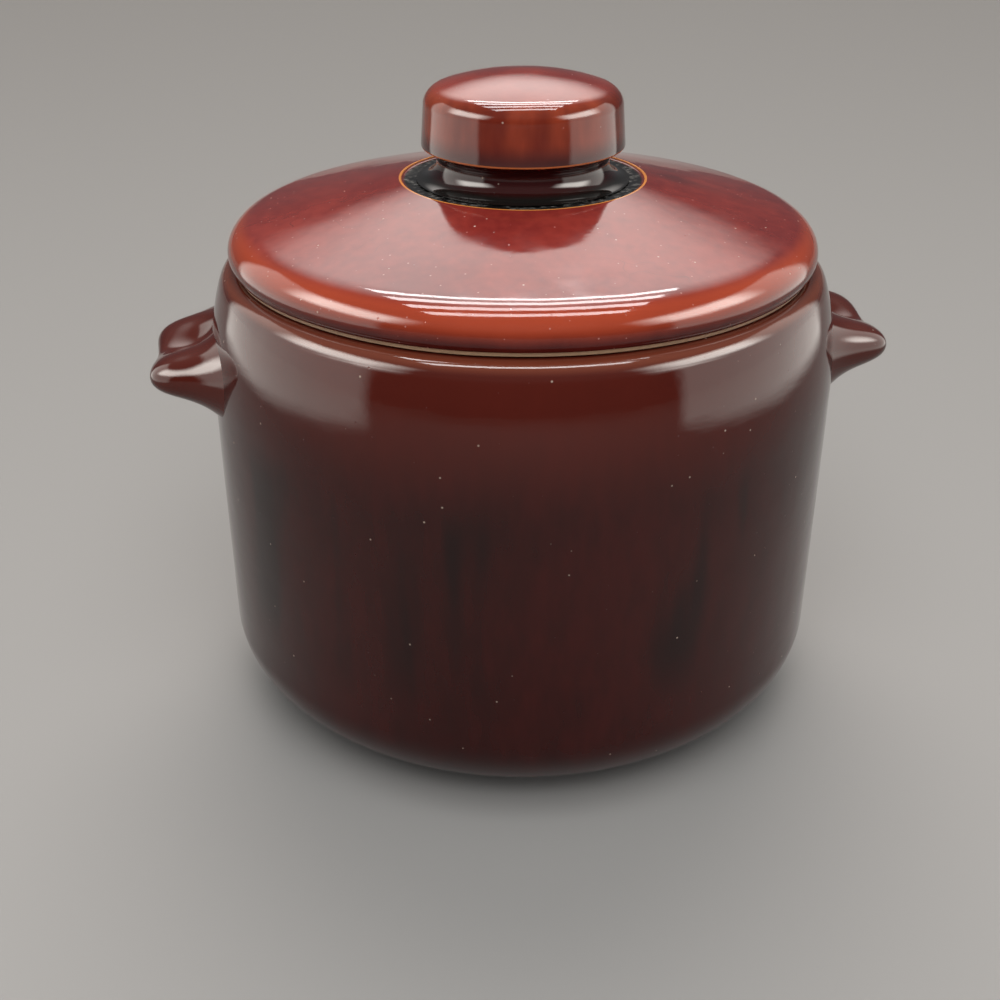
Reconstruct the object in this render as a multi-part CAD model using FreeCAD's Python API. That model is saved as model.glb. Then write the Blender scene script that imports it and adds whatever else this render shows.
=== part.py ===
import FreeCAD, Part
import math
import os

Vector = FreeCAD.Vector

# Stoneware bean pot with two ear lugs and a loose lid.
# Millimetres, +Z up, origin at the centre of the foot on the table.
# The lugs lie on the X axis. Everything but the lugs is turned about Z.

# Pot wall, outside
BODY_R = 86.0            # widest, where the shoulder starts
WALL_DRAFT = 0.6         # the wall is this much narrower at its lower end
HEEL_ROUND_R = 40.5      # rounded heel, how far it reaches in
HEEL_ROUND_Z = 26.4      # and up
SHOULDER_Z = 98.5        # height where the wall starts to draw in
SHOULDER_IN = 10.4       # half axes of the shoulder's elliptical curve
SHOULDER_UP = 34.3
SEAT_Z = 129.2           # flat rim that the lid rests on
RIM_ROUND = 2.2

# Foot ring
FOOT_R = 60.0
FOOT_WIDTH = 8.0
FOOT_RECESS = 2.4
FOOT_ROUND = 0.8

# Pot, inside
WALL = 7.0
FLOOR_Z = 10.0
FLOOR_ROUND_R = 33.0
FLOOR_ROUND_Z = 22.0
MOUTH_R = 70.5
THROAT = 7.0             # straight depth of the mouth below the seat
MOUTH_ROUND = 1.6

# Lid disc
LID_R = 79.1             # widest radius of the bullnose edge
LID_WIDEST_Z = 133.6
EDGE_ROUND_R = 6.9       # upper rounding of the edge
EDGE_ROUND_Z = 7.2
EDGE_BOTTOM_R = 77.9     # where the glazed edge ends above the bare seat
BARE_BAND = 1.3          # height of the unglazed band
BARE_SETBACK = 0.4       # it stands this much behind the glaze
BARE_BOTTOM_R = 77.2
RING_R = 32.6            # crisp edge round the knob's recess
RING_Z = 150.5
RECESS_DEPTH = 0.6
LID_WALL = 8.4           # thickness under the cone, along Z
FLANGE_GAP = 1.3         # clearance between the flange and the mouth
FLANGE_WIDTH = 6.0
FLANGE_DROP = 6.5
FLANGE_ROUND = 1.8
LID_HOLE_R = 16.5        # the knob's hollow opens through the disc

# Knob
KNOB_R = 27.05           # at its crisp lower edge
KNOB_LOW_Z = 158.9
KNOB_TOP_R = 26.3        # where the top rounding starts
KNOB_SIDE_Z = 169.2
KNOB_ROUND_R = 6.2
KNOB_ROUND_Z = 5.4
KNOB_ROUND_END = 69.5    # angle on that rounding where the dome takes over
KNOB_EDGE_ROUND = 0.7
NECK_R = 23.0
NECK_Z = 155.0           # height of the narrowest place
NECK_FOOT_R = 28.4
NECK_FOOT_EDGE = 0.3
KNOB_WALL = 6.4
KNOB_LEDGE = 1.6         # the hollow starts this much above the lower edge
KNOB_CEILING = 6.0
KNOB_HOLLOW_ROUND = 4.0

# Ear lugs, a two-lobed tab each
LUG_SINK = 1.0           # the lug is widest this far under the wall's skin
LUG_REACH = 15.7         # from there to the tip, between the lobes
LUG_LOBE_REACH = 0.42    # how far the lobes are drawn out, as a share of that
LUG_HALF_WIDTH = 21.5
LUG_HALF_HEIGHT = 5.8
LUG_LOBE_SWELL = 0.75    # how much thicker the lobes are than the middle
LUG_PLAN_POWER = 3.0     # 2 would make the outline seen from above an ellipse
LUG_EDGE_POWER = 2.2     # and 2 here the rounding of its edge
LUG_Z = 103.7            # height of the lug's middle
LUG_ROOT_DROP = 0.9      # the middle sinks towards the wall
LUG_TIP_DROP = 0.6       # and a little towards the tip
LUG_ROOT_WIDEN = 6.5     # flare where the lug is luted to the wall
LUG_ROOT_THICKEN = 6.2
LUG_FLARE_POWER = 4      # a higher power keeps the flare nearer to the wall
GROOVE_DEPTH = 3.5       # thumb groove between the lobes, on top
GROOVE_WIDTH = 6.6
LUG_BLANK_X = 75.0       # flat inner end of the blank, inside the wall
LUG_BLANK_ANGLE = -30.0  # its place before the root, on the scale below
LUG_ANGLES = (-12, 0, 7, 15, 24, 34, 44, 54, 63, 71, 78, 84)   # 0 at the wall, 90 at the tip
LUG_SECTION_POINTS = 40


def at(radius, height):
    """A point of a turned outline."""
    return Vector(radius, 0, height)


def line(start, end):
    return Part.LineSegment(start, end).toShape()


def arc(start, middle, end):
    return Part.Arc(start, middle, end).toShape()


def ellipse_arc(centre, reach_r, reach_z, start, end):
    """Arc of an upright ellipse, between angles in degrees.

    Angles run from the side that reach_r points to, and are negative below
    the centre.
    """
    side = centre + Vector(reach_r, 0, 0)
    top = centre + Vector(0, 0, reach_z)
    if abs(reach_r) >= reach_z:
        curve = Part.Ellipse(side, top, centre)
        angles = (start, end)
    else:
        curve = Part.Ellipse(top, side, centre)
        angles = (90 - start, 90 - end)
    low, high = sorted(math.radians(a) for a in angles)
    return Part.ArcOfEllipse(curve, low, high).toShape()


def on_ellipse(centre, reach_r, reach_z, angle):
    """Point of an upright ellipse at an angle in degrees."""
    turn = math.radians(angle)
    return centre + Vector(reach_r * math.cos(turn), 0, reach_z * math.sin(turn))


def touch_angle(centre, reach_r, reach_z, point):
    """Angle, in degrees, at which a line from a point on the inner side touches the ellipse's top."""
    share_r = (point.x - centre.x) / reach_r
    share_z = (point.z - centre.z) / reach_z
    turn = math.atan2(share_z, share_r) - math.acos(1 / math.hypot(share_r, share_z))
    return math.degrees(turn)


def crown_ball(centre, reach_r, reach_z, angle):
    """Centre height and radius of the ball, centred on the axis, that carries an ellipse on."""
    turn = math.radians(angle)
    start = on_ellipse(centre, reach_r, reach_z, angle)
    steepness = math.tan(turn) * reach_r / reach_z
    ball_z = start.z - start.x * steepness
    return ball_z, math.hypot(start.x, start.z - ball_z)


def turned(edges):
    """Solid turned about Z from the edges of a closed outline."""
    face = Part.Face(Part.Wire(Part.__sortEdges__(edges)))
    return face.revolve(Vector(0, 0, 0), Vector(0, 0, 1), 360)


def round_rings(shape, radius, rings):
    """Round the circular edges that lie at the given (radius, height) pairs."""
    edges = []
    for ring_r, ring_z in rings:
        for edge in shape.Edges:
            if edge.Degenerated or not isinstance(edge.Curve, Part.Circle):
                continue
            circle = edge.Curve
            if abs(circle.Radius - ring_r) < 0.01 and abs(circle.Center.z - ring_z) < 0.01:
                edges.append(edge)
    return shape.makeFillet(radius, edges)


def ellipse_height(reach_r, reach_z, offset):
    """Height of an ellipse above its centre at a horizontal offset."""
    return reach_z * math.sqrt(1 - (offset / reach_r) ** 2)


def pot_outside():
    """The pot without its hollow: heel, wall, shoulder and flat rim."""
    heel_top_r = BODY_R - WALL_DRAFT
    heel_centre = at(heel_top_r - HEEL_ROUND_R, HEEL_ROUND_Z)
    shoulder_centre = at(BODY_R - SHOULDER_IN, SHOULDER_Z)
    foot_drop = ellipse_height(HEEL_ROUND_R, HEEL_ROUND_Z, FOOT_R - heel_centre.x)
    foot_top = HEEL_ROUND_Z - foot_drop
    foot_angle = -math.degrees(math.asin(foot_drop / HEEL_ROUND_Z))
    rim_share = (SEAT_Z - SHOULDER_Z) / SHOULDER_UP
    rim_angle = math.degrees(math.asin(rim_share))
    rim_r = shoulder_centre.x + SHOULDER_IN * math.cos(math.radians(rim_angle))
    solid = turned([
        line(at(0, 0), at(FOOT_R, 0)),
        line(at(FOOT_R, 0), at(FOOT_R, foot_top)),
        ellipse_arc(heel_centre, HEEL_ROUND_R, HEEL_ROUND_Z, foot_angle, 0),
        line(at(heel_top_r, HEEL_ROUND_Z), at(BODY_R, SHOULDER_Z)),
        ellipse_arc(shoulder_centre, SHOULDER_IN, SHOULDER_UP, 0, rim_angle),
        line(at(rim_r, SEAT_Z), at(0, SEAT_Z)),
        line(at(0, SEAT_Z), at(0, 0)),
    ])
    solid = round_rings(solid, RIM_ROUND, [(rim_r, SEAT_Z)])
    return round_rings(solid, FOOT_ROUND, [(FOOT_R, 0)])


def pot_hollow():
    """What the pot holds: floor, wall and a shoulder that draws in to the mouth."""
    inner_r = BODY_R - WALL
    throat_z = SEAT_Z - THROAT
    floor_centre = at(inner_r - FLOOR_ROUND_R, FLOOR_Z + FLOOR_ROUND_Z)
    shoulder_centre = at(MOUTH_R, SHOULDER_Z)
    return turned([
        line(at(0, FLOOR_Z), at(floor_centre.x, FLOOR_Z)),
        ellipse_arc(floor_centre, FLOOR_ROUND_R, FLOOR_ROUND_Z, -90, 0),
        line(at(inner_r, floor_centre.z), at(inner_r, SHOULDER_Z)),
        ellipse_arc(shoulder_centre, inner_r - MOUTH_R, throat_z - SHOULDER_Z, 0, 90),
        line(at(MOUTH_R, throat_z), at(0, throat_z)),
        line(at(0, throat_z), at(0, FLOOR_Z)),
    ])


def disc(radius, low, high):
    return Part.makeCylinder(radius, high - low, Vector(0, 0, low))


def pot_body():
    body = pot_outside().cut(pot_hollow())
    body = body.cut(disc(MOUTH_R, SEAT_Z - THROAT - 1, SEAT_Z + 1))
    foot_in = FOOT_R - FOOT_WIDTH
    body = body.cut(disc(foot_in, -1, FOOT_RECESS))
    body = round_rings(body, MOUTH_ROUND, [(MOUTH_R, SEAT_Z)])
    return round_rings(body, FOOT_ROUND, [(foot_in, 0), (foot_in, FOOT_RECESS)])


def lid_disc():
    """The lid's cone, bullnose edge, bare seat and the flange that centres it."""
    edge_centre = at(LID_R - EDGE_ROUND_R, LID_WIDEST_Z)
    edge_angle = touch_angle(edge_centre, EDGE_ROUND_R, EDGE_ROUND_Z, at(RING_R, RING_Z))
    cone_end = on_ellipse(edge_centre, EDGE_ROUND_R, EDGE_ROUND_Z, edge_angle)
    slope = (RING_Z - cone_end.z) / (cone_end.x - RING_R)
    edge_z = SEAT_Z + BARE_BAND
    bare_top = at(EDGE_BOTTOM_R - BARE_SETBACK, edge_z)
    recess_z = RING_Z - RECESS_DEPTH
    flange_r = MOUTH_R - FLANGE_GAP
    flange_in = flange_r - FLANGE_WIDTH
    flange_z = SEAT_Z - FLANGE_DROP

    def underside(radius):
        return RING_Z - slope * (radius - RING_R) - LID_WALL

    edge_middle = at((LID_R * 2 + EDGE_BOTTOM_R) / 3, (LID_WIDEST_Z + edge_z) / 2)
    solid = turned([
        line(at(LID_HOLE_R, recess_z), at(RING_R, recess_z)),
        line(at(RING_R, recess_z), at(RING_R, RING_Z)),
        line(at(RING_R, RING_Z), cone_end),
        ellipse_arc(edge_centre, EDGE_ROUND_R, EDGE_ROUND_Z, 0, edge_angle),
        arc(at(LID_R, LID_WIDEST_Z), edge_middle, at(EDGE_BOTTOM_R, edge_z)),
        line(at(EDGE_BOTTOM_R, edge_z), bare_top),
        line(bare_top, at(BARE_BOTTOM_R, SEAT_Z)),
        line(at(BARE_BOTTOM_R, SEAT_Z), at(flange_r, SEAT_Z)),
        line(at(flange_r, SEAT_Z), at(flange_r, flange_z)),
        line(at(flange_r, flange_z), at(flange_in, flange_z)),
        line(at(flange_in, flange_z), at(flange_in, underside(flange_in))),
        line(at(flange_in, underside(flange_in)), at(LID_HOLE_R, underside(LID_HOLE_R))),
        line(at(LID_HOLE_R, underside(LID_HOLE_R)), at(LID_HOLE_R, recess_z)),
    ])
    rings = [(flange_r, flange_z), (flange_in, flange_z), (flange_in, underside(flange_in))]
    return round_rings(solid, FLANGE_ROUND, rings)


def lid_knob():
    """The drum knob on its undercut neck, hollow from below."""
    foot_z = RING_Z - RECESS_DEPTH
    foot_top = foot_z + NECK_FOOT_EDGE
    round_centre = at(KNOB_TOP_R - KNOB_ROUND_R, KNOB_SIDE_Z)
    dome_rim = on_ellipse(round_centre, KNOB_ROUND_R, KNOB_ROUND_Z, KNOB_ROUND_END)
    ball_z, ball_r = crown_ball(round_centre, KNOB_ROUND_R, KNOB_ROUND_Z, KNOB_ROUND_END)
    half_way = math.asin(dome_rim.x / ball_r) / 2
    dome_middle = at(ball_r * math.sin(half_way), ball_z + ball_r * math.cos(half_way))
    top_z = ball_z + ball_r
    overhang = KNOB_R - NECK_R
    outside = turned([
        line(at(0, foot_z), at(NECK_FOOT_R, foot_z)),
        line(at(NECK_FOOT_R, foot_z), at(NECK_FOOT_R, foot_top)),
        ellipse_arc(at(NECK_FOOT_R, NECK_Z), NECK_R - NECK_FOOT_R, NECK_Z - foot_top, -90, 0),
        ellipse_arc(at(KNOB_R, NECK_Z), -overhang, KNOB_LOW_Z - NECK_Z, 0, 90),
        line(at(KNOB_R, KNOB_LOW_Z), at(KNOB_TOP_R, KNOB_SIDE_Z)),
        ellipse_arc(round_centre, KNOB_ROUND_R, KNOB_ROUND_Z, 0, KNOB_ROUND_END),
        arc(dome_rim, dome_middle, at(0, top_z)),
        line(at(0, top_z), at(0, foot_z)),
    ])
    outside = round_rings(outside, KNOB_EDGE_ROUND, [(KNOB_R, KNOB_LOW_Z)])
    hollow_r = KNOB_TOP_R - KNOB_WALL
    hollow_low = KNOB_LOW_Z + KNOB_LEDGE
    hollow = disc(hollow_r, hollow_low, top_z - KNOB_CEILING)
    ends = [(hollow_r, hollow_low), (hollow_r, top_z - KNOB_CEILING)]
    hollow = round_rings(hollow, KNOB_HOLLOW_ROUND, ends)
    return outside.cut(hollow).cut(disc(LID_HOLE_R, foot_z - 1, KNOB_LOW_Z + KNOB_WALL))


def wall_radius(height):
    """Outside radius of the pot at a height between the heel and the rim."""
    above = max(height - SHOULDER_Z, 0)
    return BODY_R - SHOULDER_IN * (1 - math.sqrt(1 - (above / SHOULDER_UP) ** 2))


def lug_point(station, turn):
    """A point of the lug's skin, which is half of a squarish ball, stretched.

    station is an angle in degrees, from 0 at the wall to 90 at the tip, and
    turn goes round the section, from the +Y side over the top, in radians.
    """
    reach = math.sin(math.radians(station))
    across = math.cos(math.radians(station)) * math.cos(turn)
    up = math.cos(math.radians(station)) * math.sin(turn)
    plan = (abs(reach) ** LUG_PLAN_POWER + abs(across) ** LUG_PLAN_POWER) ** (1 / LUG_PLAN_POWER)
    size = (plan ** LUG_EDGE_POWER + abs(up) ** LUG_EDGE_POWER) ** (1 / LUG_EDGE_POWER)
    reach, across, up = reach / size, across / size, up / size
    flare = (1 - max(reach, 0)) ** LUG_FLARE_POWER
    y = across * (LUG_HALF_WIDTH + LUG_ROOT_WIDEN * flare)
    z = LUG_Z - LUG_ROOT_DROP * flare - LUG_TIP_DROP * reach ** 4
    thickness = LUG_HALF_HEIGHT * (1 + LUG_LOBE_SWELL * across ** 2) + LUG_ROOT_THICKEN * flare
    z += up * thickness - GROOVE_DEPTH * max(up, 0) ** 2 * math.exp(-(y / GROOVE_WIDTH) ** 2)
    root_x = math.sqrt((wall_radius(z) - LUG_SINK) ** 2 - y ** 2)
    if station < 0:
        inward = station / LUG_BLANK_ANGLE
        return Vector(root_x + inward * (LUG_BLANK_X - root_x), y, z)
    lobes = 1 + LUG_LOBE_REACH * across ** 2
    bend = BODY_R - LUG_SINK - root_x
    return Vector(root_x + (bend + LUG_REACH * lobes) * reach, y, z)


def closed_curve(points):
    curve = Part.BSplineCurve()
    curve.interpolate(Points=points, PeriodicFlag=True)
    return Part.Wire([curve.toShape()])


def right_lug(outside):
    """Two-lobed ear with a thumb groove, trimmed to seat on the pot's wall."""
    turns = [2 * math.pi * i / LUG_SECTION_POINTS for i in range(LUG_SECTION_POINTS)]
    sections = []
    for station in (LUG_BLANK_ANGLE,) + LUG_ANGLES:
        sections.append(closed_curve([lug_point(station, turn) for turn in turns]))
    blank = Part.makeLoft(sections + [Part.Vertex(lug_point(90, 0))], True)
    return blank.cut(outside)


def main():
    os.makedirs("parts", exist_ok=True)
    outside = pot_outside()
    lug = right_lug(outside)
    nodes = {
        "pot_body": pot_body(),
        "right_lug": lug,
        "left_lug": lug.mirror(Vector(0, 0, 0), Vector(1, 0, 0)),
        "lid_disc": lid_disc(),
        "lid_knob": lid_knob(),
    }
    for name, shape in nodes.items():
        box = shape.BoundBox
        print(name, "solids", len(shape.Solids), "valid", shape.isValid(),
              "volume %.1f cm3" % (shape.Volume / 1000),
              "x %.1f..%.1f y %.1f..%.1f z %.1f..%.1f"
              % (box.XMin, box.XMax, box.YMin, box.YMax, box.ZMin, box.ZMax))
        shape.exportStep("parts/" + name + ".step")


main()
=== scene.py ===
import bpy
import math
from mathutils import Matrix, Vector


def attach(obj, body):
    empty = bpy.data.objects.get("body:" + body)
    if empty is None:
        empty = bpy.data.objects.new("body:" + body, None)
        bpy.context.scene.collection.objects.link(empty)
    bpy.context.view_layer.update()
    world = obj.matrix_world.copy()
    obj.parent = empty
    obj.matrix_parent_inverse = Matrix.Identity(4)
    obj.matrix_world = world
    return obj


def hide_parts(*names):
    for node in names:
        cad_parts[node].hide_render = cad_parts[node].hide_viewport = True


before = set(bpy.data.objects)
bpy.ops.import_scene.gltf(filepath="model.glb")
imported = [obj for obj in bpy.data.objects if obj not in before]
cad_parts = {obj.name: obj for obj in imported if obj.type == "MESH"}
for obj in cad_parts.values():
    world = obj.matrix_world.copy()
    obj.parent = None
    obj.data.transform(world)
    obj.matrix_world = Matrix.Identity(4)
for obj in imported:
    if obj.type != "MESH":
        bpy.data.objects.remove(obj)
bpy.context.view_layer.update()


# The view. The photograph was taken from a little above, on a lens of 50 mm,
# with the pot turned so that its left lug comes forward.

MM = 0.001
VIEW_TURN = math.radians(-7.2)        # about the pot's axis, from the front
VIEW_PITCH = 0.4826                   # down from the horizon, in radians
VIEW_PLACE = Vector((-6.05, -370.3, 246.8)) * MM
VIEW_LENS = 50.4
VIEW_SENSOR = 36
VIEW_NEAREST = 0.01                   # in metres

view_turn = Matrix.Rotation(VIEW_TURN, 3, "Z")
camera_data = bpy.data.cameras.new("view")
camera_data.lens = VIEW_LENS
camera_data.sensor_width = VIEW_SENSOR
camera_data.clip_start = VIEW_NEAREST
camera = bpy.data.objects.new("view", camera_data)
camera.location = view_turn @ VIEW_PLACE
camera.rotation_euler = (math.pi / 2 - VIEW_PITCH, 0, VIEW_TURN)
bpy.context.scene.collection.objects.link(camera)
bpy.context.scene.camera = camera
bpy.context.scene.view_settings.view_transform = "Standard"


# The studio. A matt grey floor, a dim room with a soft glow high behind the
# pot, and two fill lamps that the glaze doesn't reflect. Four tubes overhead
# and a window and a bright pane each side are lamps that only it reflects.

FLOOR_COLOR = (0.37, 0.365, 0.355, 1)
FLOOR_RADIUS = 4                      # places and sizes in this section are in metres
FLOOR_SIDES = 96
HORIZON_COLOR = (0.12, 0.12, 0.125, 1)
SKY_COLOR = (0.32, 0.31, 0.30, 1)
SKY_RISE = (0.22, 0.62)               # height of a direction where the room brightens
GLOW_TOWARDS = (0, 0.66, 0.75)
GLOW_RISE = (0.84, 0.995)             # nearness to that direction where the glow rises
GLOW_COLOR = (4.4, 4.1, 3.9, 1)
AIM = (0, 0, 0.12)
TUBE_PLACES = (-0.15, 0.11, 0.37, 0.63)
TUBE_SIZE = (0.76, 0.12)
TUBE_HEIGHT = 1.0
TUBE_GLOW = 17
WINDOW_PLACE = (0.40, -0.03, 0.23)
WINDOW_SIZE = (0.66, 0.46)
WINDOW_GLOW = 2.3
WINDOW_FADE = 0.10
PANE_PLACE = (0.42, -0.16, 0.37)
PANE_SIZE = (0.58, 0.28)
PANE_GLOW = 14
PANE_FADE = 0.35
WINDOW_COLOR = (1.0, 0.965, 0.90)
TOP_PLACE = (0, -0.6, 1.15)
TOP_SIZE = (1.1, 0.9)
TOP_GLOW = 2.2
FRONT_PLACE = (0, -1.3, 1.2)
FRONT_SIZE = (1.2, 0.8)
FRONT_GLOW = 2.8


class Shade:
    """A socket of a node tree that takes arithmetic. Without a socket it only adds nodes."""

    def __init__(self, tree, socket=None):
        self.tree = tree
        self.socket = socket

    def node(self, kind, settings=None, inputs=None, output=0):
        """Adds a node with its settings, then its inputs, and returns one of its outputs."""
        made = self.tree.nodes.new("ShaderNode" + kind)
        for name, value in (settings or {}).items():
            setattr(made, name, value)
        for name, value in (inputs or {}).items():
            if isinstance(value, Shade):
                self.tree.links.new(value.socket, made.inputs[name])
            else:
                made.inputs[name].default_value = value
        return Shade(self.tree, made.outputs[output])

    def also(self, output):
        """Another output of the node that this value comes from."""
        return Shade(self.tree, self.socket.node.outputs[output])

    def feed(self, shader, name):
        """Links this value to a socket of a shader."""
        self.tree.links.new(self.socket, shader.inputs[name])

    def parts(self):
        """The x, y and z of this vector."""
        x = self.node("SeparateXYZ", None, {"Vector": self}, "X")
        return x, x.also("Y"), x.also("Z")

    def math(self, operation, *terms):
        return self.node("Math", {"operation": operation}, dict(enumerate(terms)))

    def __add__(self, other):
        return self.math("ADD", self, other)

    def __sub__(self, other):
        return self.math("SUBTRACT", self, other)

    def __rsub__(self, other):
        return self.math("SUBTRACT", other, self)

    def __mul__(self, other):
        return self.math("MULTIPLY", self, other)

    __radd__ = __add__
    __rmul__ = __mul__

    def rise(self, low, high):
        """0 below low and 1 above high, with a soft step between."""
        return self.node("MapRange", {"interpolation_type": "SMOOTHSTEP"},
                         {"Value": self, "From Min": low, "From Max": high})

    def mix(self, first, second):
        """Blends two colours, this value being the share of the second."""
        return self.node("Mix", {"data_type": "RGBA"}, {"Factor": self, 6: first, 7: second}, 2)


def soften_edges(data, fade):
    """Dims a lamp towards its four edges, over this share of its size."""
    data.use_nodes = True
    tree = data.node_tree
    across, along, _ = Shade(tree).node("NewGeometry", output="Parametric").parts()
    strength = across.rise(0, fade) * across.rise(1, 1 - fade)
    strength = strength * along.rise(0, fade) * along.rise(1, 1 - fade)
    strength.feed(tree.nodes["Emission"], "Strength")


def add_lamp(name, place, target, size, glow, fade=0):
    """A rectangular soft lamp at place, turned to face target."""
    data = bpy.data.lights.new(name, "AREA")
    data.shape = "RECTANGLE"
    data.size, data.size_y = size
    data.energy = glow * math.pi * size[0] * size[1]
    if fade:
        soften_edges(data, fade)
    lamp = bpy.data.objects.new(name, data)
    lamp.location = view_turn @ Vector(place)
    aim = view_turn @ Vector(target) - lamp.location
    lamp.rotation_euler = aim.to_track_quat("-Z", "Y").to_euler()
    bpy.context.scene.collection.objects.link(lamp)
    return lamp


bpy.ops.object.select_all(action="DESELECT")
bpy.ops.mesh.primitive_circle_add(vertices=FLOOR_SIDES, radius=FLOOR_RADIUS, fill_type="NGON")
floor = bpy.context.object
floor.name = "floor"
floor_paint = bpy.data.materials.new("floor")
floor_paint.use_nodes = True
floor_shader = floor_paint.node_tree.nodes["Principled BSDF"]
floor_shader.inputs["Base Color"].default_value = FLOOR_COLOR
floor_shader.inputs["Roughness"].default_value = 1
floor_shader.inputs["Specular IOR Level"].default_value = 0
floor.data.materials.append(floor_paint)

world = bpy.data.worlds.new("room")
world.use_nodes = True
direction = Shade(world.node_tree).node("TexCoord", output="Generated")
height = direction.parts()[2]
nearness = direction.node("VectorMath", {"operation": "DOT_PRODUCT"},
                          {0: direction, 1: view_turn @ Vector(GLOW_TOWARDS)}, "Value")
room = height.rise(*SKY_RISE).mix(HORIZON_COLOR, SKY_COLOR)
room = nearness.rise(*GLOW_RISE).mix(room, GLOW_COLOR)
room.feed(world.node_tree.nodes["Background"], "Color")
bpy.context.scene.world = world

for number, place_y in enumerate(TUBE_PLACES):
    tube = add_lamp("tube_" + str(number), (0, place_y, TUBE_HEIGHT), (0, place_y, 0),
                    TUBE_SIZE, TUBE_GLOW)
    tube.visible_diffuse = False
for name, side in (("left_window", -1), ("right_window", 1)):
    beside, along, up = WINDOW_PLACE
    window = add_lamp(name, (side * beside, along, up), (0, along, up), WINDOW_SIZE,
                      WINDOW_GLOW, WINDOW_FADE)
    beside, along, up = PANE_PLACE
    pane = add_lamp(name + "_pane", (side * beside, along, up), AIM, PANE_SIZE,
                    PANE_GLOW, PANE_FADE)
    for lamp in (window, pane):
        lamp.data.color = WINDOW_COLOR
        lamp.visible_diffuse = False
        lamp.visible_camera = False
for name, place, size, glow in (("top_fill", TOP_PLACE, TOP_SIZE, TOP_GLOW),
                                ("front_fill", FRONT_PLACE, FRONT_SIZE, FRONT_GLOW)):
    fill = add_lamp(name, place, AIM, size, glow)
    fill.visible_glossy = False


# The pot. One thick wall of stoneware, thrown or cast, with a rounded heel,
# a shoulder drawn in to a flat bare rim, and a bare foot ring.
# It was dipped in a dark iron glaze that shows red where it runs thin.

# From here, sizes are in millimetres and outlines are points (radius, height).
# A curve has its centre and its reach, both as (radius, height).
BODY_R = 86.0
FOOT_R = 60.0
FOOT_INNER_R = 52.0
FOOT_RECESS = 2.4
FOOT_ROUND = 0.8
HEEL = (44.9, 26.4)
HEEL_REACH = (40.5, 26.4)
HEEL_START = -66.5
SHOULDER = (75.6, 98.5)
SHOULDER_REACH = (10.4, 34.3)
SHOULDER_END = 52.0       # angle on that curve where the rim's rounding takes over
RIM_ROUND = (76.8, 123.31)
RIM_ROUND_REACH = (5.61, 5.89)
RIM_ROUND_START = 22.6
SEAT_Z = 129.2
MOUTH_R = 70.5
MOUTH_ROUND = 1.6
INNER_R = 79.0
INNER_SHOULDER_REACH = (8.5, 23.7)
INNER_HEEL = (46.0, 32.0)
INNER_HEEL_REACH = (33.0, 22.0)
FLOOR_Z = 10.0


def bow(centre, reach, start, end, steps):
    """Points of a curve between two angles, in degrees. A single reach makes it round."""
    out, up = reach if isinstance(reach, tuple) else (reach, reach)
    points = []
    for step in range(steps + 1):
        angle = math.radians(start + (end - start) * step / steps)
        points.append((centre[0] + out * math.cos(angle), centre[1] + up * math.sin(angle)))
    return points


def run(start, end, steps):
    """Points of a straight stretch, without its ends."""
    return [(start[0] + (end[0] - start[0]) * step / steps,
             start[1] + (end[1] - start[1]) * step / steps) for step in range(1, steps)]


heel_top = (HEEL[0] + HEEL_REACH[0], HEEL[1])
foot_edge = FOOT_R - FOOT_ROUND
mouth_edge = MOUTH_R + MOUTH_ROUND
mouth_top = SEAT_Z - MOUTH_ROUND
mouth_foot = SHOULDER[1] + INNER_SHOULDER_REACH[1]
pot_outline = (
    [(0, FOOT_RECESS)] + run((0, FOOT_RECESS), (FOOT_INNER_R, FOOT_RECESS), 12)
    + bow((FOOT_INNER_R - FOOT_ROUND, FOOT_RECESS - FOOT_ROUND), FOOT_ROUND, 90, 0, 5)
    + bow((FOOT_INNER_R + FOOT_ROUND, FOOT_ROUND), FOOT_ROUND, 180, 270, 5)
    + run((FOOT_INNER_R + FOOT_ROUND, 0), (foot_edge, 0), 5)
    + bow((foot_edge, FOOT_ROUND), FOOT_ROUND, -90, 0, 5)
    + bow(HEEL, HEEL_REACH, HEEL_START, 0, 36)
    + run(heel_top, (BODY_R, SHOULDER[1]), 40)
    + bow(SHOULDER, SHOULDER_REACH, 0, SHOULDER_END, 26)
    + bow(RIM_ROUND, RIM_ROUND_REACH, RIM_ROUND_START, 90, 16)
    + run((RIM_ROUND[0], SEAT_Z), (mouth_edge, SEAT_Z), 6)
    + bow((mouth_edge, mouth_top), MOUTH_ROUND, 90, 180, 8)
    + run((MOUTH_R, mouth_top), (MOUTH_R, mouth_foot), 4)
    + bow((MOUTH_R, SHOULDER[1]), INNER_SHOULDER_REACH, 90, 0, 20)
    + run((INNER_R, SHOULDER[1]), (INNER_R, INNER_HEEL[1]), 30)
    + bow(INNER_HEEL, INNER_HEEL_REACH, 0, -90, 24)
    + run((INNER_HEEL[0], FLOOR_Z), (0, FLOOR_Z), 12) + [(0, FLOOR_Z)]
)


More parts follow.
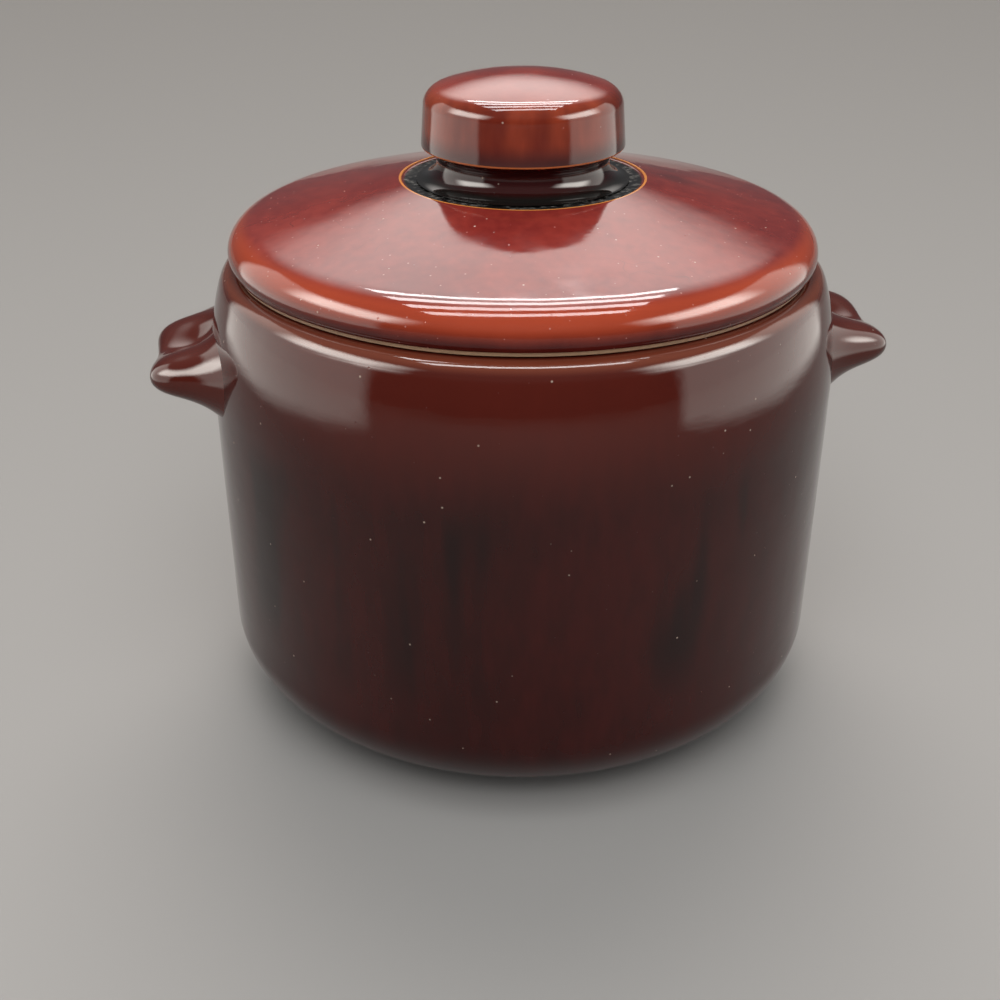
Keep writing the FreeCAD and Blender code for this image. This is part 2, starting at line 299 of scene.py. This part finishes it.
def turn_on_wheel(name, outline, steps=160):
    """A piece turned about Z from its outline."""
    bpy.ops.object.select_all(action="DESELECT")
    bpy.ops.mesh.primitive_plane_add(size=MM)
    piece = bpy.context.object
    piece.name = piece.data.name = name
    bpy.ops.object.mode_set(mode="EDIT")
    bpy.ops.mesh.merge(type="CENTER")
    here = Vector((outline[0][0], 0, outline[0][1])) * MM
    bpy.ops.transform.translate(value=here)
    for radius, height in outline[1:]:
        there = Vector((radius, 0, height)) * MM
        bpy.ops.mesh.extrude_vertices_move(TRANSFORM_OT_translate={"value": there - here})
        here = there
    bpy.ops.mesh.select_all(action="SELECT")
    bpy.ops.mesh.spin(steps=steps, angle=2 * math.pi, center=(0, 0, 0), axis=(0, 0, 1))
    bpy.ops.mesh.select_all(action="SELECT")
    bpy.ops.mesh.remove_doubles(threshold=MM / 200)
    bpy.ops.mesh.delete_loose(use_verts=True, use_edges=True, use_faces=False)
    bpy.ops.mesh.select_all(action="SELECT")
    bpy.ops.mesh.normals_make_consistent(inside=False)
    bpy.ops.object.mode_set(mode="OBJECT")
    return piece


def hand_made(piece, size, depth, where):
    """Pushes the skin in by up to depth, in soft swells of that size, read around a place."""
    swells = bpy.data.textures.new(piece.name + "_swells", "CLOUDS")
    swells.noise_scale = size * MM
    swells.noise_depth = 1
    anchor = bpy.data.objects.new(piece.name + "_anchor", None)
    anchor.location = Vector(where) * MM
    bpy.context.scene.collection.objects.link(anchor)
    bpy.context.view_layer.update()
    push = piece.modifiers.new("swells", "DISPLACE")
    push.texture = swells
    push.texture_coords = "OBJECT"
    push.texture_coords_object = anchor
    push.mid_level = 1.0
    push.strength = depth * MM
    bpy.context.view_layer.objects.active = piece
    bpy.ops.object.modifier_apply(modifier=push.name)
    bpy.data.objects.remove(anchor)


def finish_piece(piece, material, body, node, angle=35):
    """Smooths a piece, gives it its finish and puts it in the place of its solid."""
    bpy.ops.object.select_all(action="DESELECT")
    piece.select_set(True)
    bpy.context.view_layer.objects.active = piece
    bpy.ops.object.shade_smooth_by_angle(angle=math.radians(angle))
    piece.data.materials.clear()
    piece.data.materials.append(material)
    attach(piece, body)
    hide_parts(node)


def start_glaze(name):
    """A new material, the place on the piece, and its radius and height in millimetres."""
    material = bpy.data.materials.new(name)
    material.use_nodes = True
    place = Shade(material.node_tree).node("TexCoord", output="Object")
    x, y, z = place.parts()
    radius = place.math("SQRT", x * x + y * y)
    return material, place, radius * 1000, z * 1000


def noise(place, scale, detail=3, stretch=(1, 1, 1), roughness=0.5, distortion=0.0):
    """Cloudy noise with features of about 1 / scale metres."""
    spread = place.node("Mapping", None, {"Vector": place, "Scale": stretch})
    return place.node("TexNoise", None, {"Vector": spread, "Scale": scale, "Detail": detail,
                                         "Roughness": roughness, "Distortion": distortion})


def specks(place, cell, share, size):
    """1 on round specks of this size, in a share of cells, both in metres."""
    near = place.node("TexVoronoi", {"feature": "F1"}, {"Vector": place, "Scale": 1 / cell})
    chance = near.node("SeparateColor", None, {"Color": near.also("Color")})
    picked = chance.rise(1 - share, 1 - share + 0.005)
    return (1 - near.rise(0.3 * size / cell, 0.7 * size / cell)) * picked


def band(value, middle, width):
    """1 at the middle value, soft down to 0 at width to either side."""
    return 1 - value.math("ABSOLUTE", value - middle).rise(0, width)


def capped(value):
    """This value, and 1 at most."""
    return value.math("MINIMUM", value, 1)


GRIT_COLOR = (0.62, 0.50, 0.40, 1)
GRIT_SHOWS = 0.55
GLOSS = 0.05
CLAY_ROUGHNESS = 0.85
CLAY_GRAIN = 700
GLAZE_IOR = 1.41
WAVE_STRENGTH = 0.4
WAVE_DEPTH = 0.0006       # in metres, for a relief of 1


def glaze_surface(material, place, color, bare=0):
    """Finishes a glaze: gloss with small pits, grit and waves, and dull clay where bare is 1."""
    shader = material.node_tree.nodes["Principled BSDF"]
    pits = specks(place, cell=0.0032, share=0.30, size=0.00042)
    grit = specks(place, cell=0.0042, share=0.30, size=0.00050) * (1 - bare)
    swell = noise(place, 38, detail=2)
    wheel_marks = noise(place, 95, stretch=(0.25, 0.25, 1.6))
    peel = noise(place, 420, detail=2)
    grain = noise(place, 1600)
    smears = noise(place, 30, detail=6, stretch=(1, 1, 2.2), roughness=0.65).rise(0.42, 0.72)
    (grit * GRIT_SHOWS).mix(color, GRIT_COLOR).feed(shader, "Base Color")
    roughness = GLOSS + smears * 0.11 + pits * 0.25 + grit * 0.3
    (roughness * (1 - bare) + bare * CLAY_ROUGHNESS).feed(shader, "Roughness")
    relief = swell + wheel_marks * 0.22 + peel * 0.045
    relief = relief - pits * 0.10 + grit * 0.05 + bare * grain * 0.2
    bump = relief.node("Bump", None, {"Strength": WAVE_STRENGTH, "Distance": WAVE_DEPTH,
                                      "Height": relief})
    bump.feed(shader, "Normal")
    shader.inputs["IOR"].default_value = GLAZE_IOR


THICK_GLAZE_COLOR = (0.026, 0.0016, 0.0010, 1)
THIN_GLAZE_COLOR = (0.052, 0.0030, 0.0018, 1)
RUN_COLOR = (0.0085, 0.0012, 0.0012, 1)
RUNS_FROM = (30, 52)      # heights where the dark runs set in and die out
RUNS_TO = (84, 100)
RUNS_SHOW = 0.8
SHOULDER_COLOR = (0.105, 0.0135, 0.0070, 1)
SHOULDER_WARMS = (88, 121)
SHOULDER_SHOWS = 0.8
WORN_COLOR = (0.10, 0.014, 0.007, 1)
LIP_COLOR = (0.20, 0.050, 0.026, 1)
LIP_Z = 128.0
LIP_WIDTH = 1.9
LIP_RADII = (76.6, 78.0)
LIP_SHOWS = 0.85
BARE_RIM_Z = (127.6, 128.4)
BARE_RIM_INNER = (70.6, 71.2)
BARE_RIM_OUTER = (75.6, 76.0)
BARE_FOOT_Z = (1.3, 2.2)
BARE_FOOT_INNER = (50.5, 51.0)
CLAY_COLOR = (0.36, 0.25, 0.16, 1)
PALE_CLAY_COLOR = (0.50, 0.37, 0.25, 1)


def pot_glaze(name="pot_glaze", warmth=0.0):
    """The dark iron glaze, reddened by warmth where it lies thin over a whole piece."""
    material, place, radius, height = start_glaze(name)
    runs = noise(place, 40, stretch=(1, 1, 0.11), distortion=0.35)
    patches = noise(place, 13)
    fine = noise(place, 230, detail=4, stretch=(1, 1, 0.35))
    thin = (patches * 0.7 + fine * 0.5 - 0.1).rise(0.25, 0.85)
    color = thin.mix(THICK_GLAZE_COLOR, THIN_GLAZE_COLOR)
    dark_runs = (1 - runs.rise(0.40, 0.52)) * (height.rise(*RUNS_FROM)
                                               * (1 - height.rise(*RUNS_TO)))
    color = (dark_runs * RUNS_SHOW).mix(color, RUN_COLOR)
    shoulder = height.rise(*SHOULDER_WARMS) * (0.55 + patches * 0.6)
    color = (capped(shoulder) * SHOULDER_SHOWS).mix(color, SHOULDER_COLOR)
    worn = capped(noise(place, 90) * 0.6 + warmth) * warmth
    color = worn.mix(color, WORN_COLOR)
    lip = band(height, LIP_Z, LIP_WIDTH) * radius.rise(*LIP_RADII)
    color = (lip * LIP_SHOWS).mix(color, LIP_COLOR)
    seat = (height.rise(*BARE_RIM_Z) * (1 - radius.rise(*BARE_RIM_OUTER))
            * radius.rise(*BARE_RIM_INNER))
    foot = (1 - height.rise(*BARE_FOOT_Z)) * radius.rise(*BARE_FOOT_INNER)
    bare = capped(seat + foot)
    clay = noise(place, CLAY_GRAIN).mix(CLAY_COLOR, PALE_CLAY_COLOR)
    glaze_surface(material, place, bare.mix(color, clay), bare)
    return material


pot = turn_on_wheel("pot", pot_outline)
hand_made(pot, size=45, depth=0.35, where=(11, 7, 3))
finish_piece(pot, pot_glaze(), "pot", "pot_body")


# The lugs. Two ears of clay pressed in a mould, with a thumb groove between
# two lobes, and luted to the wall before glazing.

LUG_SINK = 1.0
LUG_REACH = 15.7
LUG_LOBE_REACH = 0.42
LUG_HALF_WIDTH = 21.5
LUG_HALF_HEIGHT = 5.8
LUG_LOBE_SWELL = 0.75
LUG_PLAN_POWER = 3.0
LUG_EDGE_POWER = 2.2
LUG_Z = 103.7
LUG_ROOT_DROP = 0.9
LUG_TIP_DROP = 0.6
LUG_TIP_POWER = 4
LUG_ROOT_WIDEN = 6.5
LUG_ROOT_THICKEN = 6.2
LUG_FLARE_POWER = 4
GROOVE_DEPTH = 3.5
GROOVE_WIDTH = 6.6
LUG_ROOT_ANGLE = -10.0
LUG_ROOT_SINK = 20.0     # how fast the root goes into the wall
LUG_WARMTH = 0.55


def wall_radius(height):
    """Outside radius of the pot at a height between the heel and the rim."""
    above = max(height - SHOULDER[1], 0)
    return BODY_R - SHOULDER_REACH[0] * (1 - math.sqrt(1 - (above / SHOULDER_REACH[1]) ** 2))


def lug_skin(place):
    """Where a point of a ball of radius 1, with its tip along +X, goes on the lug."""
    reach, across, up = place
    plan = (abs(reach) ** LUG_PLAN_POWER + abs(across) ** LUG_PLAN_POWER) ** (1 / LUG_PLAN_POWER)
    size = (plan ** LUG_EDGE_POWER + abs(up) ** LUG_EDGE_POWER) ** (1 / LUG_EDGE_POWER)
    reach, across, up = reach / size, across / size, up / size
    flare = (1 - max(reach, 0)) ** LUG_FLARE_POWER
    y = across * (LUG_HALF_WIDTH + LUG_ROOT_WIDEN * flare)
    z = LUG_Z - LUG_ROOT_DROP * flare - LUG_TIP_DROP * reach ** LUG_TIP_POWER
    thickness = LUG_HALF_HEIGHT * (1 + LUG_LOBE_SWELL * across ** 2) + LUG_ROOT_THICKEN * flare
    z += up * thickness - GROOVE_DEPTH * max(up, 0) ** 2 * math.exp(-(y / GROOVE_WIDTH) ** 2)
    root_x = math.sqrt((wall_radius(z) - LUG_SINK) ** 2 - y ** 2)
    if reach < 0:
        return Vector((root_x + reach * LUG_ROOT_SINK, y, z))
    lobes = 1 + LUG_LOBE_REACH * across ** 2
    bend = BODY_R - LUG_SINK - root_x
    return Vector((root_x + (bend + LUG_REACH * lobes) * reach, y, z))


def make_lug(name):
    """The right lug, from a ball with its back cut off."""
    bpy.ops.object.select_all(action="DESELECT")
    bpy.ops.mesh.primitive_uv_sphere_add(segments=128, ring_count=160, radius=1)
    lug = bpy.context.object
    lug.name = lug.data.name = name
    bpy.ops.object.mode_set(mode="EDIT")
    bpy.ops.mesh.select_all(action="SELECT")
    bpy.ops.transform.rotate(value=math.pi / 2, orient_axis="Y", center_override=(0, 0, 0))
    bpy.ops.mesh.select_all(action="SELECT")
    root_x = math.sin(math.radians(LUG_ROOT_ANGLE))
    bpy.ops.mesh.bisect(plane_co=(root_x, 0, 0), plane_no=(-1, 0, 0), use_fill=True,
                        clear_outer=True)
    bpy.ops.object.mode_set(mode="OBJECT")
    for vertex in lug.data.vertices:
        vertex.co = lug_skin(vertex.co) * MM
    return lug


right_lug = make_lug("lug_right")
left_lug = right_lug.copy()
left_lug.data = right_lug.data.copy()
left_lug.name = left_lug.data.name = "lug_left"
bpy.context.scene.collection.objects.link(left_lug)
left_lug.data.transform(Matrix.Scale(-1, 4, (1, 0, 0)))
left_lug.data.flip_normals()
lug_glaze = pot_glaze("lug_glaze", LUG_WARMTH)
for lug, node in ((right_lug, "right_lug"), (left_lug, "left_lug")):
    hand_made(lug, size=14, depth=0.25, where=(5, 9, 2))
    finish_piece(lug, lug_glaze, "pot", node, angle=50)


# The lid. A thick disc with a shallow cone on top, a bullnose edge, a bare
# seat with a flange that centres it in the mouth, and a recess for the knob.
# It is turned, and its plum glaze breaks to orange round the recess.

BORE_R = 16.5
RECESS_R = 31.7
RECESS_Z = 149.9
RECESS_ROUND = 0.6
RING_R = 32.6
RING_TOP_R = 32.66
RING_Z = 150.5
RING_REACH = (0.28, 0.25)
LID_EDGE = (67.1, 133.6)
LID_EDGE_REACH = (12.0, 8.108)
LID_UNDER = (75.9, 133.6)
LID_UNDER_REACH = (3.2, 4.0)
LID_UNDER_END = -51
LID_STEP = [(77.5, 130.5), (77.45, 130.3), (77.35, 129.8)]
LID_SEAT = (76.8, 129.6)
LID_SEAT_REACH = (0.45, 0.4)
FLANGE_R = 69.2
FLANGE_INNER_R = 63.2
FLANGE_Z = 124.5
FLANGE_ROUND = 1.8
UNDERSIDE = (63.2, 133.0)
UNDERSIDE_ROUND = (61.4, 133.3)
UNDERSIDE_START = (61.8, 134.95)
UNDERSIDE_TOP = (16.5, 146.0)
BORE_STEP_Z = 148.0


def touch_angle(centre, reach, point):
    """Angle, in degrees, where a straight line from point touches a curve."""
    across, up = (point[0] - centre[0]) / reach[0], (point[1] - centre[1]) / reach[1]
    return math.degrees(math.atan2(up, across) - math.acos(1 / math.hypot(across, up)))


lid_touch = touch_angle(LID_EDGE, LID_EDGE_REACH, (RING_R, RING_Z))
lid_edge = bow(LID_EDGE, LID_EDGE_REACH, lid_touch, 0, 26)
lid_outline = (
    [(BORE_R, RECESS_Z)] + run((BORE_R, RECESS_Z), (RECESS_R, RECESS_Z), 10)
    + bow((RECESS_R, RECESS_Z + RECESS_ROUND), RECESS_ROUND, -90, -10, 5)
    + bow((RING_R, RING_Z - RING_REACH[1]), RING_REACH, 160, 76, 5)
    + run((RING_TOP_R, RING_Z), lid_edge[0], 40)
    + lid_edge
    + bow(LID_UNDER, LID_UNDER_REACH, 0, LID_UNDER_END, 10)
    + LID_STEP
    + bow(LID_SEAT, LID_SEAT_REACH, 0, -90, 4)
    + run((LID_SEAT[0], SEAT_Z), (FLANGE_R, SEAT_Z), 6)
    + run((FLANGE_R, SEAT_Z), (FLANGE_R, FLANGE_Z), 5)
    + bow((FLANGE_R - FLANGE_ROUND, FLANGE_Z), FLANGE_ROUND, 0, -90, 6)
    + bow((FLANGE_INNER_R + FLANGE_ROUND, FLANGE_Z), FLANGE_ROUND, -90, -180, 6)
    + run((FLANGE_INNER_R, FLANGE_Z), UNDERSIDE, 6)
    + bow(UNDERSIDE_ROUND, FLANGE_ROUND, 0, 76, 6)
    + run(UNDERSIDE_START, UNDERSIDE_TOP, 24)
    + [UNDERSIDE_TOP, (BORE_R, BORE_STEP_Z), (BORE_R, RECESS_Z)]
)


def hairlines(place, cell, width, wander):
    """1 on fine crooked lines round cells of this size, all in metres."""
    drift = place.node("TexNoise", None, {"Vector": place, "Scale": 0.7 / cell, "Detail": 3.0})
    push = place.node("VectorMath", {"operation": "SCALE"},
                      {0: drift.also("Color"), "Scale": wander})
    bent = place.node("VectorMath", {"operation": "ADD"}, {0: place, 1: push})
    edge = place.node("TexVoronoi", {"feature": "DISTANCE_TO_EDGE"},
                      {"Vector": bent, "Scale": 1 / cell})
    return 1 - edge.rise(0.2 * width / cell, width / cell)


PLUM_COLOR = (0.150, 0.014, 0.014, 1)
OXBLOOD_COLOR = (0.290, 0.036, 0.026, 1)
BLOTCH_COLOR = (0.050, 0.008, 0.010, 1)
BLOTCHES_SHOW = 0.8
BLOTCHES_FADE = (36, 56)      # radii over which they grow fainter
EDGE_COLOR = (0.40, 0.055, 0.020, 1)
EDGE_RADII = (72.5, 76.5)
EDGE_HEIGHTS = (131.0, 136.0)
# Painted shade: the lower, down-facing part of the bullnose edge is darkened.
LOW_EDGE_SHADE_COLOR = (0.060, 0.005, 0.004, 1)
LOW_EDGE_SHADE_RADII = (74, 76)
LOW_EDGE_SHADE_HEIGHTS = (131.0, 137.5)
HAIRLINE_COLOR = (0.035, 0.008, 0.008, 1)
HAIRLINES_SHOW = 0.4
HAIRLINES_END = (69, 72)
DUST_COLOR = (0.60, 0.30, 0.26, 1)
DUST_SHOWS = 0.6
CRUST_COLOR = (0.006, 0.006, 0.006, 1)
ASH_COLOR = (0.16, 0.155, 0.14, 1)
CRUST_RADII = (31.2, 32.2)
CRUST_HEIGHTS = (148, 149)
RING_COLOR = (0.72, 0.27, 0.06, 1)
RING_HALF_WIDTH = 0.55
RING_HEIGHTS = (149.8, 150.1)
LID_BARE_HEIGHTS = (130.35, 130.55)
LID_BARE_RADII = (68.5, 69.0)
LID_CLAY_COLOR = (0.40, 0.26, 0.15, 1)
PALE_LID_CLAY_COLOR = (0.55, 0.38, 0.24, 1)


def lid_glaze():
    """Cloudy plum and oxblood with blotches, hairlines, specks, a crust round the knob and
    painted shade low on the edge.
    """
    material, place, radius, height = start_glaze("lid_glaze")
    cloud = noise(place, 24, detail=4, roughness=0.55)
    fine = noise(place, 330, detail=4)
    red = (cloud * 0.9 + fine * 0.35 - 0.1).rise(0.30, 0.78)
    color = red.mix(PLUM_COLOR, OXBLOOD_COLOR)
    blotches = noise(place, 17, distortion=0.6).rise(0.56, 0.72)
    near_knob = 1 - radius.rise(*BLOTCHES_FADE)
    color = ((near_knob * 0.55 + 0.45) * blotches * BLOTCHES_SHOW).mix(color, BLOTCH_COLOR)
    edge = radius.rise(*EDGE_RADII) * height.rise(*EDGE_HEIGHTS)
    color = capped(edge * (0.65 + cloud * 0.6)).mix(color, EDGE_COLOR)
    mottle = noise(place, 120, detail=4, stretch=(1, 1, 0.5))
    # Painted shade on the lower, down-facing part of the lid's edge.
    low_edge_shade = (1 - height.rise(*LOW_EDGE_SHADE_HEIGHTS)) * radius.rise(*LOW_EDGE_SHADE_RADII)
    color = capped(low_edge_shade * (0.55 + mottle * 0.6)).mix(color, LOW_EDGE_SHADE_COLOR)
    lines = hairlines(place, cell=0.027, width=0.00012, wander=0.05)
    lines = lines * noise(place, 21, detail=2).rise(0.52, 0.62) * HAIRLINES_SHOW
    color = (lines * (1 - radius.rise(*HAIRLINES_END))).mix(color, HAIRLINE_COLOR)
    dust = specks(place, cell=0.0021, share=0.30, size=0.00042)
    color = (dust * DUST_SHOWS).mix(color, DUST_COLOR)
    crust = (1 - radius.rise(*CRUST_RADII)) * height.rise(*CRUST_HEIGHTS)
    ash = noise(place, 500).rise(0.45, 0.75).mix(CRUST_COLOR, ASH_COLOR)
    color = crust.mix(color, ash)
    ring = band(radius, RING_R, RING_HALF_WIDTH).rise(0.1, 0.6) * height.rise(*RING_HEIGHTS)
    color = ring.mix(color, RING_COLOR)
    bare = (1 - height.rise(*LID_BARE_HEIGHTS)) * radius.rise(*LID_BARE_RADII)
    clay = noise(place, CLAY_GRAIN).mix(LID_CLAY_COLOR, PALE_LID_CLAY_COLOR)
    glaze_surface(material, place, bare.mix(color, clay), bare)
    return material


lid = turn_on_wheel("lid", lid_outline)
hand_made(lid, size=38, depth=0.3, where=(3, 17, 5))
finish_piece(lid, lid_glaze(), "lid", "lid_disc")


# The knob. A hollow drum on an undercut neck, turned and luted in the
# lid's recess, with glaze broken to orange along its lower edge.

KNOB_FOOT = [(28.0, 0), (28.4, 0.12), (28.4, 0.3)]     # heights above the recess
NECK = (28.4, 155.0)
NECK_REACH = (-5.4, -4.8)                              # inwards and down
UNDERCUT = (27.05, 155.0)
UNDERCUT_REACH = (-4.05, 3.5)
KNOB_EDGE = (26.35, 159.3)
KNOB_EDGE_REACH = (0.7, 0.75)
KNOB_ROUND = (20.1, 169.2)
KNOB_ROUND_REACH = (6.2, 5.4)
KNOB_ROUND_END = 69.5    # angle on that rounding where the crown takes over
KNOB_STEPS = 128
KNOB_CEILING = 171.8
KNOB_CEILING_R = 15.9
KNOB_HOLLOW_TOP = 167.8
KNOB_HOLLOW_FOOT = 164.5
KNOB_HOLLOW_ROUND = 4.0
KNOB_BORE_HEIGHTS = (160.5, 157.0, 153.0, RECESS_Z)

crown_r, crown_z = bow(KNOB_ROUND, KNOB_ROUND_REACH, KNOB_ROUND_END, 0, 1)[0]
crown_slope = math.tan(math.radians(KNOB_ROUND_END)) * KNOB_ROUND_REACH[0] / KNOB_ROUND_REACH[1]
crown_start = math.degrees(math.atan(crown_slope))
crown_ball = (0, crown_z - crown_r * crown_slope)
crown_reach = math.hypot(crown_r, crown_r * crown_slope)
knob_outline = (
    [(BORE_R, RECESS_Z)] + [(out, RECESS_Z + up) for out, up in KNOB_FOOT]
    + bow(NECK, NECK_REACH, 90, 0, 16)
    + bow(UNDERCUT, UNDERCUT_REACH, 0, 78, 12)
    + bow(KNOB_EDGE, KNOB_EDGE_REACH, -75, 0, 6)
    + run((KNOB_EDGE[0] + KNOB_EDGE_REACH[0], KNOB_EDGE[1]),
          (KNOB_ROUND[0] + KNOB_ROUND_REACH[0], KNOB_ROUND[1]), 10)
    + bow(KNOB_ROUND, KNOB_ROUND_REACH, 0, KNOB_ROUND_END, 16)
    + bow(crown_ball, crown_reach, crown_start, 90, 16)[1:]
)
knob_hollow = (
    [(0, KNOB_CEILING)] + run((0, KNOB_CEILING), (KNOB_CEILING_R, KNOB_CEILING), 6)
    + bow((KNOB_CEILING_R, KNOB_HOLLOW_TOP), KNOB_HOLLOW_ROUND, 90, 0, 8)
    + bow((KNOB_CEILING_R, KNOB_HOLLOW_FOOT), KNOB_HOLLOW_ROUND, 0, -80, 8)
    + [(BORE_R, height) for height in KNOB_BORE_HEIGHTS]
)

KNOB_DARK_COLOR = (0.140, 0.015, 0.007, 1)
KNOB_RED_COLOR = (0.330, 0.052, 0.020, 1)
CROWN_DARK_COLOR = (0.20, 0.022, 0.018, 1)
CROWN_RED_COLOR = (0.31, 0.042, 0.028, 1)
CROWN_HEIGHTS = (172.4, 175.0)
SKIRT_COLOR = (0.040, 0.008, 0.009, 1)
SKIRT_HEIGHTS = (159.5, 165.0)
# Painted shade: the neck under the knob's overhang is coloured near-black.
NECK_SHADE_COLOR = (0.040, 0.004, 0.004, 1)
NECK_SHADE_HEIGHTS = (157.5, 158.6)
KNOB_FOOT_COLOR = (0.010, 0.009, 0.008, 1)
KNOB_FOOT_HEIGHTS = (150.6, 152.6)
KNOB_EDGE_COLOR = (0.60, 0.19, 0.06, 1)
KNOB_EDGE_Z = 158.95
KNOB_EDGE_WIDTH = 0.5
KNOB_EDGE_RADII = (26.2, 26.6)


def knob_glaze():
    """Red glaze that darkens down the drum, painted shade on the neck under the knob's overhang,
    and an orange lower edge.
    """
    material, place, radius, height = start_glaze("knob_glaze")
    cloud = noise(place, 60, detail=4, stretch=(1, 1, 0.4))
    runs = noise(place, 170, detail=4, stretch=(1, 1, 0.22))
    red = (cloud * 0.8 + runs * 0.5 - 0.15).rise(0.30, 0.75)
    color = red.mix(KNOB_DARK_COLOR, KNOB_RED_COLOR)
    crown = cloud.rise(0.3, 0.7).mix(CROWN_DARK_COLOR, CROWN_RED_COLOR)
    color = height.rise(*CROWN_HEIGHTS).mix(color, crown)
    skirt = 1 - height.rise(*SKIRT_HEIGHTS)
    color = capped(skirt * (0.6 + runs * 0.5)).mix(color, SKIRT_COLOR)
    # Painted shade on the neck, under the knob's overhang.
    color = (1 - height.rise(*NECK_SHADE_HEIGHTS)).mix(color, NECK_SHADE_COLOR)
    color = (1 - height.rise(*KNOB_FOOT_HEIGHTS)).mix(color, KNOB_FOOT_COLOR)
    edge = band(height, KNOB_EDGE_Z, KNOB_EDGE_WIDTH).rise(0.1, 0.7)
    color = (edge * radius.rise(*KNOB_EDGE_RADII)).mix(color, KNOB_EDGE_COLOR)
    glaze_surface(material, place, color)
    return material


knob = turn_on_wheel("knob", knob_outline + knob_hollow, KNOB_STEPS)
hand_made(knob, size=18, depth=0.2, where=(2, 3, 9))
finish_piece(knob, knob_glaze(), "lid", "lid_knob")
